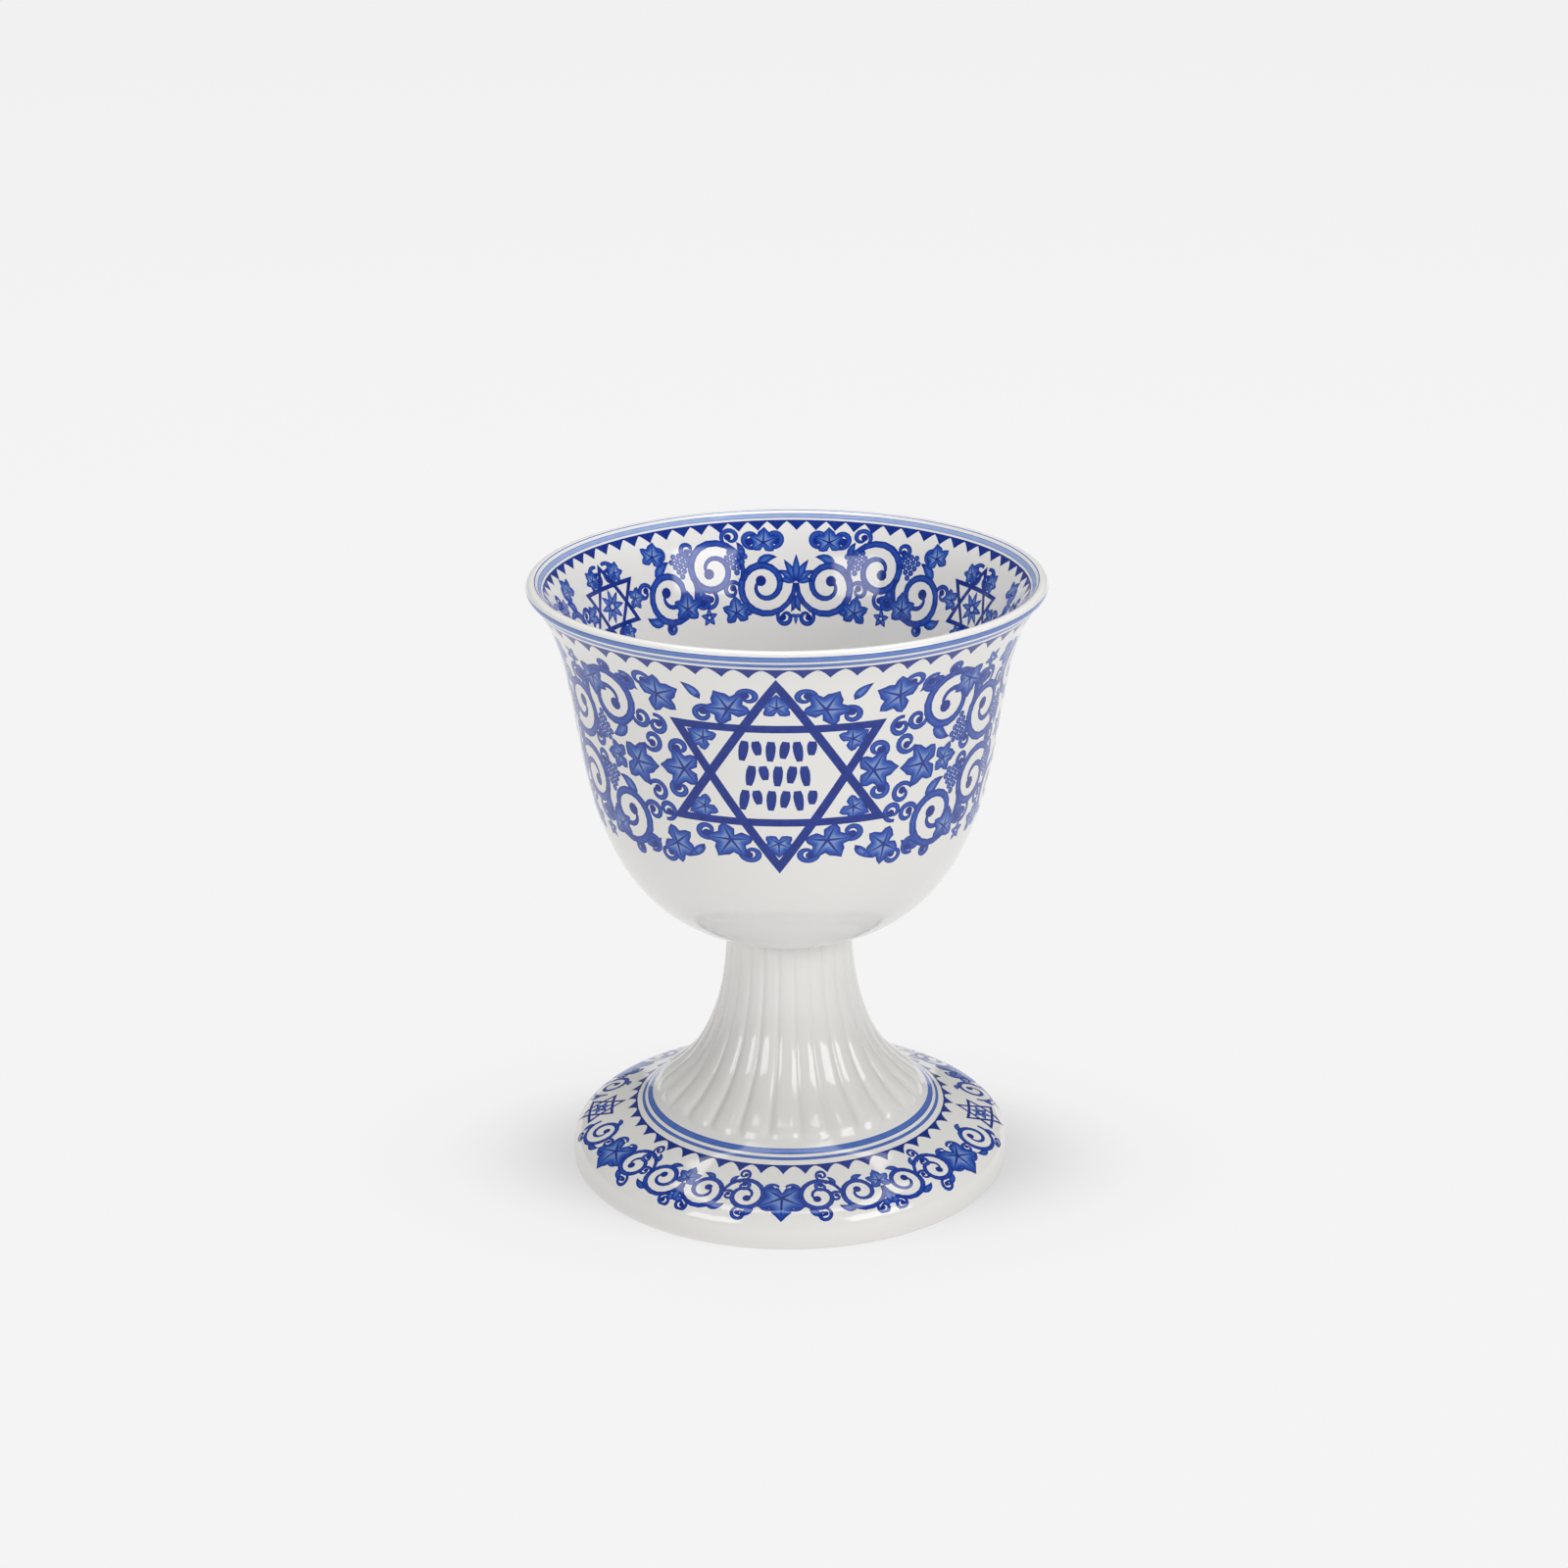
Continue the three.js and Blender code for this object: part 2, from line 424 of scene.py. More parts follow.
def volute(start, heading, turn, leaves, curls):
    """A large scroll with leaves and small curls that grow from its back."""
    sizes = [VOLUTE_RADIUS * share for share in (1, VOLUTE_TIGHT, VOLUTE_THICK, VOLUTE_THIN, VOLUTE_BULB)]
    main, course = scroll(start, heading, turn * VOLUTE_SWEEP, *sizes)
    grown = []
    for angle, share in leaves:
        point, direction = course[round(angle / CURL_STEP)]
        length = VOLUTE_RADIUS * share
        leaning = direction - turn * LEAF_LEAN
        grown.append(leaf(point, leaning, length, length * LEAF_BREADTH, turn * LEAF_BEND))
    for angle, share in curls:
        point, direction = course[round(angle / CURL_STEP)]
        grown += curl(point, direction - turn * CURL_LEAN, -turn, VOLUTE_RADIUS * share)
    return grown + main, course


# One side of a wave of volutes. It starts on an axis at u = 0 and grows to the left, each volute from
# the back of the one before. Leaves: degrees along, length. Curls: degrees along, radius.
WAVE_LEAVES = (
    ((20, 0.62), (120, 0.76), (260, 0.72)),
    ((40, 0.62), (240, 0.74)),
    ((20, 0.68), (140, 0.8), (260, 0.8)),
)
WAVE_CURLS = (
    ((60, 0.28), (180, 0.3)),
    ((80, 0.3), (160, 0.26), (280, 0.32)),
    ((40, 0.26), (120, 0.18), (220, 0.3)),
)
WAVE_ROOT = -0.2 + 9.2j
DOWNWARD = -90


def wave(forks):
    """As many volutes as there are forks, the degrees along each at which the next one leaves it."""
    motifs = []
    point = WAVE_ROOT
    heading = DOWNWARD
    turn = RIGHT
    for leaves, curls, fork in zip(WAVE_LEAVES, WAVE_CURLS, forks):
        grown, course = volute(point, heading, turn, leaves, curls)
        motifs += grown
        point, heading = course[round(fork / CURL_STEP)]
        turn = -turn
    return motifs


def grown_at(curls, leaves):
    """Curls and vine leaves set at places of their own."""
    motifs = []
    for place in curls:
        motifs += curl(*place)
    for place in leaves:
        motifs += vine_leaf(*place)
    return motifs


# Leaves: base, heading, length. Flowers: centre, radius, petals. Grapes: top, length.
# Palmettes and tufts: base, heading, length, petals, spread to either side, breadth against length.
TIER_FORKS = (200, 220, 200)
TIER_LEAVES = ((-13.4 + 0.5j, 94, 6.4), (-25.6 + 2.4j, 84, 6.8))
TIER_FLOWER = (-20.2 + 2.8j, 2.1, 5)
TIER_GRAPES = ((-25.4 + 17.4j, 5.6), (-12.9 + 16.9j, 5.6))
TIER_PALMETTE = (9.6j, UPWARD, 5.8, 7, 72, 0.3)
TIER_TUFT = (2.4j, DOWNWARD, 2.2, 3, 60, 0.4)


def full_tier():
    """Three volutes at stepped heights, with vine leaves, a flower and grapes between them."""
    motifs = wave(TIER_FORKS) + grown_at((), TIER_LEAVES) + rosette(*TIER_FLOWER)
    for bunch in TIER_GRAPES:
        motifs += grapes(*bunch)
    return motifs + fan(*TIER_PALMETTE) + fan(*TIER_TUFT)


TOOTH_LINE = 0.3
TOOTH_STEPS = 5


def teeth(count, width, top, depth, roundness):
    """A row of dark points between round-topped white arches, hung from a thin line."""
    motifs = []
    pitch = width / count
    for tooth in range(count):
        centre = (tooth - count // 2) * pitch
        lower = []
        for step in range(-TOOTH_STEPS, TOOTH_STEPS + 1):
            across = step / TOOTH_STEPS
            rise = 1 - (1 - abs(across)) ** roundness
            lower.append(complex(centre + across * pitch / 2, top - depth + (depth - TOOTH_LINE) * rise))
        corners = [complex(centre + pitch / 2, top), complex(centre - pitch / 2, top)]
        motifs.append(motif(lower + corners, pitch / 4))
    return motifs


def hexagram(centre, reach, bar, steps):
    """Two triangles laid over each other, each of three bars."""
    bars = []
    for apex in (90, 270):
        for side in range(3):
            start = polar(1, apex + 120 * side)
            end = polar(1, apex + 120 * (side + 1))
            edges = [start + (end - start) * step / steps for step in range(steps + 1)]
            outer = [centre + edge * reach for edge in edges]
            inner = [centre + edge * (reach - 2 * bar) for edge in edges]
            bars.append(motif(outer + inner[::-1], bar / 2))
    return bars


class Band:
    """A printed band: a tile repeated round the cup, between two lengths along a walk of the outline."""

    def __init__(self, walk, start, end, radius, repeats, side):
        self.walk = walk
        self.start = start
        self.end = end
        self.height = end - start
        self.radius = radius
        self.repeats = repeats
        self.side = side
        self.width = 2 * math.pi * radius / repeats
        self.motifs = []


# Looked at from above, a tile seen from outside runs anticlockwise round the cup, and one seen from inside
# runs clockwise
SEEN_FROM_OUTSIDE = 1
SEEN_FROM_INSIDE = -1

# The bowl outside: two tiers of volutes to either side of a six-pointed star, front and back.
# Curls: start, heading, turn, radius.
BOWL_TEETH = 30
BOWL_TEETH_TOP = 42.0
BOWL_TOOTH_DEPTH = 2.3
BOWL_TOOTH_ROUNDNESS = 1.6
TIER_MIRROR = 19.6
TIER_END_CURLS = (
    (-35.5 + 15.6j, 120, LEFT, 2.1), (-38.4 + 9.6j, 190, RIGHT, 1.9),
    (-38.0 + 4.6j, 200, LEFT, 2.0), (-33.2 + 2.2j, 200, RIGHT, 1.9),
)
TIER_END_LEAVES = ((-37.0 + 6.4j, 203, 7.6),)
middle = TIER_MIRROR * 1j
MIDDLE_FLOWERS = ((middle, 4.8, 8), (middle - 7.9, 3.2, 6))
MIDDLE_LEAVES = ((middle - 30.0, 180, 8.2), (middle - 31.2, 0, 5.6))

bowl_print = Band(outside, start=5.05, end=47.5, radius=38.1, repeats=2, side=SEEN_FROM_OUTSIDE)
half_width = bowl_print.width / 2
tier = full_tier() + grown_at(TIER_END_CURLS, TIER_END_LEAVES)
quarter = tier + flipped(tier, TIER_MIRROR) + grown_at((), MIDDLE_LEAVES)
for flower in MIDDLE_FLOWERS:
    quarter += rosette(*flower)
right_half = moved(quarter, lambda point: point + half_width)
bowl_print.motifs = right_half + mirrored(right_half, 0)

# The star, with a leaf in each point, and a leaf between curls in each of the six notches round it.
# Sprig leaf: base, heading, length, breadth, bend.
STAR_CENTRE = 20.1j
STAR_REACH = 19.4
STAR_BAR = 1.45
STAR_STRETCH = 1.13
STAR_BAR_STEPS = 12
NOTCH_REACH = 11.6
NOTCH_LEAF = 7.2
POINT_LEAF_REACH = 11.0
POINT_LEAF = 5.0
NOTCH_CURL = 1.7
NOTCH_CURL_PAST = 4.3
NOTCH_CURL_ANGLE = 32
SPRIG_LEAF = (STAR_CENTRE + 11.6 + 14.2j, 62, 4.6, 1.7, -30)
STAR_POINTS = 6
NOTCH_TO_POINT = 30

star_panel = []
for notch in range(STAR_POINTS):
    facing = 360 // STAR_POINTS * notch
    base = STAR_CENTRE + polar(NOTCH_REACH, facing)
    for turn in (LEFT, RIGHT):
        root = base + polar(NOTCH_CURL_PAST, facing + turn * NOTCH_CURL_ANGLE)
        star_panel += curl(root, facing, turn, NOTCH_CURL)
    star_panel += vine_leaf(base, facing, NOTCH_LEAF)
    facing += NOTCH_TO_POINT
    star_panel += vine_leaf(STAR_CENTRE + polar(POINT_LEAF_REACH, facing), facing, POINT_LEAF)
sprig = [leaf(*SPRIG_LEAF)]
sprig += mirrored(sprig, 0)
star_panel += sprig + flipped(sprig, STAR_CENTRE.imag)
star_panel += hexagram(STAR_CENTRE, STAR_REACH, STAR_BAR, STAR_BAR_STEPS)

# Rows of plain brush strokes in the middle of the star: how many, and how high above its centre
STROKE_ROWS = ((6, 4.7), (5, 0), (6, -4.7))
STROKE_PITCH = 2.05
STROKE_TALL = 3.8
STROKE_HEIGHTS = (1, 0.7, 1, 0.85)
STROKE_LEANS = (0.25, -0.2, 0.1)
STROKE_WIDTHS = (1.05, 1.5, 1.5, 1.3, 0.85)
for count, level in STROKE_ROWS:
    for place in range(count):
        across = (place - (count - 1) / 2) * STROKE_PITCH
        lean = STROKE_LEANS[place % len(STROKE_LEANS)]
        top = STAR_CENTRE + complex(across + lean, level + STROKE_TALL / 2)
        drop = complex(-2 * lean, -STROKE_TALL * STROKE_HEIGHTS[place % len(STROKE_HEIGHTS)])
        steps = len(STROKE_WIDTHS) - 1
        path = [top + drop * step / steps for step in range(steps + 1)]
        star_panel.append(stroke(path, STROKE_WIDTHS, DARK, DARK))


def true_on_bowl(point):
    """Broadens the star, by the same true share where the bowl is wider or narrower than its middle."""
    radius = outside.point(bowl_print.end - point.imag).real
    return complex(point.real * STAR_STRETCH * bowl_print.radius / radius, point.imag)


bowl_print.motifs += moved(star_panel, true_on_bowl)
bowl_print.motifs += teeth(
    BOWL_TEETH, bowl_print.width, BOWL_TEETH_TOP, BOWL_TOOTH_DEPTH, BOWL_TOOTH_ROUNDNESS
)

# The bowl inside: one tier of the same volutes between three small stars, below a row of teeth
LINING_SCALE = 0.88
LINING_RISE = 0.3j
LINING_STAR = 9.1j
LINING_STAR_REACH = 8.3
LINING_STAR_BAR = 0.85
LINING_STAR_STEPS = 4
LINING_STAR_FLOWER = (LINING_STAR, 3.4, 8)
LINING_TEETH = 24
LINING_TEETH_TOP = 20.5
LINING_TOOTH_DEPTH = 2.1
LINING_TOOTH_ROUNDNESS = 1.15
LINING_CURLS = (
    (0.8 + 17.0j, 20, RIGHT, 2.2), (0.8 + 1.2j, -20, LEFT, 2.2),
    (33.4 + 15.2j, 200, RIGHT, 1.7), (36.0 + 15.2j, -20, LEFT, 1.7), (13.6 + 14.6j, -20, LEFT, 1.4),
)
LINING_LEAVES = (
    (34.6 + 13.9j, 84, 5.2), (12.2 + 13.6j, 70, 5.2), (LINING_STAR + 4.9, 0, 4.2),
    (LINING_STAR + polar(4.9, 60), 60, 4.0), (LINING_STAR + polar(4.9, -60), -60, 4.0),
)

lining_print = Band(inside, start=1.55, end=22.2, radius=39.0, repeats=3, side=SEEN_FROM_INSIDE)
lining_half = lining_print.width / 2
lining_side = moved(full_tier(), lambda point: point * LINING_SCALE + lining_half + LINING_RISE)
lining_side += grown_at(LINING_CURLS, LINING_LEAVES)
lining_print.motifs = lining_side + mirrored(lining_side, 0) + rosette(*LINING_STAR_FLOWER)
lining_print.motifs += hexagram(LINING_STAR, LINING_STAR_REACH, LINING_STAR_BAR, LINING_STAR_STEPS)
lining_print.motifs += teeth(
    LINING_TEETH, lining_print.width, LINING_TEETH_TOP, LINING_TOOTH_DEPTH, LINING_TOOTH_ROUNDNESS
)

# The foot: pairs of small volutes between vine leaves, with a small star at either side of the cup.
# Curls here have a fifth value, the weight of their line.
FOOT_SCALE = 0.62
FOOT_FORKS = (180, 180)
FOOT_CURL_WEIGHT = 0.75
PALM_CURLS = ((0.6 + 7.8j, 50, RIGHT, 1.6, FOOT_CURL_WEIGHT), (1.4 + 2.6j, -30, LEFT, 1.5, FOOT_CURL_WEIGHT))
PALM_LEAVES = ((8.6j, DOWNWARD, 8.2),)
PAIR_CURLS = ((-9.9 + 8.2j, 120, LEFT, 1.3, FOOT_CURL_WEIGHT),)
PAIR_LEAVES = ((5.0j, UPWARD, 4.8),)
PAIR_TUFT = (1.6j, UPWARD, 3.0, 3, 50, 0.4)
FOOT_STAR_HEIGHT = 5.5j
FOOT_STAR_REACH = 5.2
FOOT_STAR_BAR = 0.6
FOOT_STAR_STEPS = 4
FOOT_STAR_ROOM = 5.6
FOOT_STAR_FLOWER = 2.2
FOOT_STAR_PETALS = 6
FOOT_TEETH = 24
FOOT_TEETH_TOP = 13.0
FOOT_TOOTH_DEPTH = 2.1
FOOT_TOOTH_ROUNDNESS = 1.8

foot_print = Band(below, start=40.85, end=54.2, radius=35.0, repeats=2, side=SEEN_FROM_OUTSIDE)
sixth = foot_print.width / 3
foot_star = FOOT_STAR_HEIGHT + foot_print.width / 2
palm = grown_at(PALM_CURLS, ())
palm += mirrored(palm, 0) + grown_at((), PALM_LEAVES)
pair = moved(wave(FOOT_FORKS), lambda point: point * FOOT_SCALE) + grown_at(PAIR_CURLS, ())
pair += mirrored(pair, 0) + grown_at((), PAIR_LEAVES) + fan(*PAIR_TUFT)
lone_volute = moved(wave(FOOT_FORKS[:1]), lambda point: point * FOOT_SCALE)
foot_side = moved(pair, lambda point: point + sixth / 2) + moved(palm, lambda point: point + sixth)
foot_side += moved(lone_volute, lambda point: point + foot_print.width / 2 - FOOT_STAR_ROOM)
foot_print.motifs = foot_side + mirrored(foot_side, 0) + palm
foot_print.motifs += rosette(foot_star, FOOT_STAR_FLOWER, FOOT_STAR_PETALS)
foot_print.motifs += hexagram(foot_star, FOOT_STAR_REACH, FOOT_STAR_BAR, FOOT_STAR_STEPS)
foot_print.motifs += teeth(
    FOOT_TEETH, foot_print.width, FOOT_TEETH_TOP, FOOT_TOOTH_DEPTH, FOOT_TOOTH_ROUNDNESS
)


# The cup's surface: plain stretches are spun round the axis, and printed bands are cut into the faces
# of their motifs and wrapped round between them, so that the print has clean edges at any size.

# Facets round the cup: twelve to each reed, and a whole number to each tile of a band
FACETS = 312
# Millimetres: between points that keep the white ground's triangles even, from these points to a motif,
# the white margin at a band's ends, and how near two cuts may lie before they are one
GROUND_GRID = 3.6
GROUND_CLEAR = 0.7
BORDER = 0.12
CUT_TOLERANCE = 1e-4
# Metres between corners that are joined into one
WELD = 4e-6
# The share of the bake sheet left free at either end of a plain lane
SEAM_MARGIN = 0.01

cup_mesh = bmesh.new()
ink = cup_mesh.loops.layers.float.new("ink")
unwrap = cup_mesh.loops.layers.uv.new("OFBake")
wrapped_normals = {}


def spun(points, strength, lane, shape=None):
    """Turns a stretch of the outline round the axis and colours it with one strength of ink."""
    strip = bmesh.new()
    strip_ink = strip.loops.layers.float.new("ink")
    strip_unwrap = strip.loops.layers.uv.new("OFBake")
    line = [strip.verts.new((0, -point.real * MM, point.imag * MM)) for point in points]
    edges = [strip.edges.new(pair) for pair in zip(line, line[1:])]
    bmesh.ops.spin(
        strip, geom=line + edges, cent=(0, 0, 0), axis=(0, 0, 1), angle=2 * math.pi,
        steps=FACETS, use_merge=True, use_duplicate=False,
    )
    lane_low, lane_high = lane
    reach = max(abs(point - points[0]) for point in points)
    for face in strip.faces:
        middle = face.calc_center_median()
        middle_turn = math.atan2(middle.x, -middle.y) / (2 * math.pi)
        for loop in face.loops:
            spot = loop.vert.co
            turn = math.atan2(spot.x, -spot.y) / (2 * math.pi)
            turn -= round(turn - middle_turn)
            share = abs(complex(math.hypot(spot.x, spot.y), spot.z) / MM - points[0]) / reach
            loop[strip_ink] = strength
            across = (turn + 0.5) * (1 - 2 * SEAM_MARGIN) + SEAM_MARGIN
            loop[strip_unwrap].uv = (across, lane_low + (lane_high - lane_low) * share)
    if shape:
        for vertex in strip.verts:
            shape(vertex)
    strip_data = bpy.data.meshes.new("strip")
    strip.to_mesh(strip_data)
    strip.free()
    cup_mesh.from_mesh(strip_data)
    bpy.data.meshes.remove(strip_data)


def inside_outline(point, outline):
    within = False
    before = outline[-1]
    for after in outline:
        if (before.imag > point.imag) != (after.imag > point.imag):
            slope = (after.real - before.real) / (after.imag - before.imag)
            if point.real < before.real + (point.imag - before.imag) * slope:
                within = not within
        before = after
    return within


def distance_to(point, outline):
    best = math.inf
    before = outline[-1]
    for after in outline:
        side = after - before
        run = abs(side)
        if run > 0:
            share = ((point - before) * side.conjugate()).real / (run * run)
            best = min(best, abs(point - before - side * min(max(share, 0), 1)))
        before = after
    return best


class Sorter:
    """Finds which motif lies on top at a point, by way of a coarse grid of cells."""

    def __init__(self, motifs):
        self.motifs = motifs
        self.cells = {}
        for index, one in enumerate(motifs):
            across = [point.real for point in one["outline"]]
            upward = [point.imag for point in one["outline"]]
            for column in range(math.floor(min(across) - 1), math.ceil(max(across) + 1)):
                for row in range(math.floor(min(upward) - 1), math.ceil(max(upward) + 1)):
                    self.cells.setdefault((column, row), []).append(index)

    def near(self, point):
        return self.cells.get((math.floor(point.real), math.floor(point.imag)), [])

    def top(self, point):
        for index in reversed(self.near(point)):
            if inside_outline(point, self.motifs[index]["outline"]):
                return index
        return None

    def clear(self, point):
        for index in self.near(point):
            outline = self.motifs[index]["outline"]
            if inside_outline(point, outline) or distance_to(point, outline) < GROUND_CLEAR:
                return False
        return True


def cut_tile(band):
    """Cuts one tile of a band into triangles: corner points, and for each triangle its corners' ink."""
    half = band.width / 2
    top = band.height - BORDER

    def kept_in(point):
        return complex(point.real, min(max(point.imag, BORDER), top))

    motifs = []
    for one in moved(band.motifs, kept_in):
        across = [point.real for point in one["outline"]]
        for shift in (0, -band.width, band.width):
            if min(across) + shift < half and max(across) + shift > -half:
                motifs += moved([one], lambda point: point + shift)
    sorter = Sorter(motifs)
    steps = FACETS // band.repeats
    points = [complex(-half + band.width * step / steps, 0) for step in range(steps + 1)]
    points += [complex(half - band.width * step / steps, band.height) for step in range(steps + 1)]
    edges = [(index, index + 1) for index in range(len(points) - 1)] + [(len(points) - 1, 0)]
    for one in motifs:
        first = len(points)
        count = len(one["outline"])
        edges += [(first + index, first + (index + 1) % count) for index in range(count)]
        points += one["outline"] + one["spine"]
    columns = round(band.width / GROUND_GRID)
    rows = round(band.height / GROUND_GRID)
    for row in range(1, rows):
        for column in range(columns):
            point = complex((column + 0.5 - columns / 2) * band.width / columns, row * band.height / rows)
            if sorter.clear(point):
                points.append(point)
    flat = [Vector((point.real, point.imag)) for point in points]
    corners, _, triangles, _, _, _ = delaunay_2d_cdt(flat, edges, [], 0, CUT_TOLERANCE, False)
    places = [complex(corner.x, corner.y) for corner in corners]
    known = {}
    cut = []
    for triangle in triangles:
        centre = sum(places[corner] for corner in triangle) / 3
        if abs(centre.real) > half:
            continue
        index = sorter.top(centre)
        strengths = [0.0] * 3
        if index is not None:
            one = motifs[index]
            for slot, corner in enumerate(triangle):
                if (corner, index) not in known:
                    depth = min(1.0, distance_to(places[corner], one["outline"]) / one["breadth"])
                    known[corner, index] = one["edge"] + (one["core"] - one["edge"]) * depth
                strengths[slot] = known[corner, index]
        cut.append((triangle, strengths))
    return places, cut


def wrapped(band, lane):
    """Wraps a band's tile round the cup, as many times as it repeats."""
    places, cut = cut_tile(band)
    lane_low, lane_high = lane
    for repeat in range(band.repeats):
        corners = {}
        for triangle, _ in cut:
            for corner in triangle:
                if corner in corners:
                    continue
                place = places[corner]
                turn = band.side * place.real / band.radius + 2 * math.pi * repeat / band.repeats
                length = band.end - place.imag
                spot = band.walk.point(length) * MM
                normal = band.walk.normal(length)
                around = Vector((math.sin(turn), -math.cos(turn), 0))
                vertex = cup_mesh.verts.new(around * spot.real + Vector((0, 0, spot.imag)))
                wrapped_normals[vertex] = around * normal.real + Vector((0, 0, normal.imag))
                corners[corner] = vertex
        for triangle, strengths in cut:
            face = cup_mesh.faces.new([corners[corner] for corner in triangle])
            for loop, corner, strength in zip(face.loops, triangle, strengths):
                place = places[corner]
                loop[ink] = strength
                rise = place.imag / band.height
                loop[unwrap].uv = (place.real / band.width + 0.5, lane_low + (lane_high - lane_low) * rise)


# The sheet laid out for baking the print: a wide lane for each band and a narrow one for each plain stretch
BOWL_LANE = (0.64, 0.995)
LINING_LANE = (0.385, 0.635)
FOOT_LANE = (0.145, 0.38)
PLAIN_LANES = (
    "hollow", "foot roll", "bare line", "band edge", "band", "inner band", "reed noses", "stem",
    "ring edge", "ring", "ledge", "belly", "bowl floor",
)
PLAIN_LANE_TOP = 0.14
LANE_GAP = 0.002


def plain_lane(name):
    low = PLAIN_LANE_TOP * PLAIN_LANES.index(name) / len(PLAIN_LANES)
    return (low + LANE_GAP, low + PLAIN_LANE_TOP / len(PLAIN_LANES) - LANE_GAP)


# Plain blue lines round the cup, as the lengths at which each strength of ink starts: two bands with darker
# edges outside the rim, a line on the lip and one pale band inside it, and two rings round the foot
BARE = 0
BAND = 0.44
BAND_EDGE = 0.6
INNER_BAND = 0.3
RING = 0.54
RING_EDGE = 0.72
RIM_STOPS = (
    (bowl_print.start, BARE), (4.88, BAND_EDGE), (4.74, BAND), (4.12, BAND_EDGE), (3.98, BARE),
    (3.34, BAND_EDGE), (3.2, BAND), (2.5, BAND_EDGE), (2.36, BARE),
    (0.45, BAND_EDGE), (0.25, BARE), (0, BARE),
)
INNER_STOPS = (
    (0, BARE), (0.36, BAND_EDGE), (0.46, INNER_BAND), (1.2, BAND_EDGE), (1.3, BARE),
    (lining_print.start, BARE),
)
FOOT_STOPS = (
    (foot_print.start, BARE), (40.12, RING_EDGE), (40.0, RING), (39.63, RING_EDGE), (39.51, BARE),
    (38.88, RING_EDGE), (38.74, RING), (37.89, RING_EDGE), (37.75, BARE),
)
LINE_LANES = {
    BARE: "bare line", BAND_EDGE: "band edge", BAND: "band", INNER_BAND: "inner band",
    RING_EDGE: "ring edge", RING: "ring",
}
# Millimetres from row to row of faces along the outline
BOWL_PACE = 3.0
STEM_PACE = 1.6
ROLL_PACE = 0.8
LINE_PACE = 0.5
NOSE_PACE = 0.42


def lined(walk, stops):
    for (start, strength), (end, _) in zip(stops, stops[1:]):
        spun(walk.between(start, end, LINE_PACE), strength, plain_lane(LINE_LANES[strength]))


# Reeds: rounded ribs along the stem, which end in round noses above the foot. The noses stand proud of the
# outline, and further up the crests are level with it and the grooves between them lie below.
REED_COUNT = 26
REED_HEIGHT = 0.9
REED_FALL = 1.5
REED_FULLNESS = 3.2
REED_END_GAP = 1.9
REED_SINK_LENGTH = 11
stem_length = below.lengths[CURVE_POINTS]
half_pitch = math.pi * RING_RADIUS / REED_COUNT
reed_end = stem_length - REED_END_GAP
nose_shoulder = reed_end - half_pitch


def raise_reed(vertex):
    place = complex(math.hypot(vertex.co.x, vertex.co.y), vertex.co.z) / MM
    length = below.length_near(place)
    turn = math.atan2(vertex.co.x, -vertex.co.y) * REED_COUNT / (2 * math.pi)
    across = 2 * abs(turn - round(turn))
    along_nose = max(0, (length - nose_shoulder) / half_pitch)
    crest = max(0, 1 - across**REED_FULLNESS - along_nose**REED_FULLNESS)
    share = min(max((reed_end - length) / REED_SINK_LENGTH, 0), 1)
    sunk = share * share * (3 - 2 * share)
    outward = below.normal(length)
    around = Vector((vertex.co.x, vertex.co.y, 0)).normalized()
    rise = REED_HEIGHT * (place.real / RING_RADIUS) ** REED_FALL * (crest - sunk) * MM
    vertex.co += (around * outward.real + Vector((0, 0, outward.imag))) * rise


def raise_ledge(vertex):
    if math.hypot(vertex.co.x, vertex.co.y) < BOWL_BASE_RADIUS * MM - WELD:
        raise_reed(vertex)


# From the hollow below, round the foot and up the outside, over the lip and down to the bowl's floor
rings_end = FOOT_STOPS[-1][0]
spun(hollow, BARE, plain_lane("hollow"))
spun(below.between(below.length, foot_print.end, ROLL_PACE), BARE, plain_lane("foot roll"))
wrapped(foot_print, FOOT_LANE)
lined(below, FOOT_STOPS)
spun(below.between(rings_end, nose_shoulder, NOSE_PACE), BARE, plain_lane("reed noses"), raise_reed)
spun(below.between(nose_shoulder, 0, STEM_PACE), BARE, plain_lane("stem"), raise_reed)
spun([stem_top, bowl_base], BARE, plain_lane("ledge"), raise_ledge)
spun(outside.between(outside.length, bowl_print.end, BOWL_PACE), BARE, plain_lane("belly"))
wrapped(bowl_print, BOWL_LANE)
lined(outside, RIM_STOPS)
lined(inside, INNER_STOPS)
wrapped(lining_print, LINING_LANE)
spun(inside.between(lining_print.end, inside.length, BOWL_PACE), BARE, plain_lane("bowl floor"))

bmesh.ops.remove_doubles(cup_mesh, verts=cup_mesh.verts, dist=WELD)
bmesh.ops.recalc_face_normals(cup_mesh, faces=cup_mesh.faces)
for face in cup_mesh.faces:
    face.smooth = True
SHARP = math.radians(72)
for edge in cup_mesh.edges:
    if edge.is_manifold and edge.calc_face_angle() > SHARP:
        edge.smooth = False

# Printed faces are shaded by the outline's own normals, and the rest by their mesh
cup_mesh.verts.index_update()
normals = [(0, 0, 0)] * len(cup_mesh.verts)
for vertex, normal in wrapped_normals.items():
    if vertex.is_valid:
        normals[vertex.index] = tuple(normal)
cup_data = bpy.data.meshes.new("glazed_cup")
cup_mesh.to_mesh(cup_data)
cup_mesh.free()
cup_data.normals_split_custom_set_from_vertices(normals)
cup = bpy.data.objects.new("glazed_cup", cup_data)
bpy.context.collection.objects.link(cup)


# The glaze: a clear gloss coat, fired over the white porcelain and its print so that both lie below it.
# The cobalt is laid a little unevenly, and the coat wavers where it ran in the kiln.

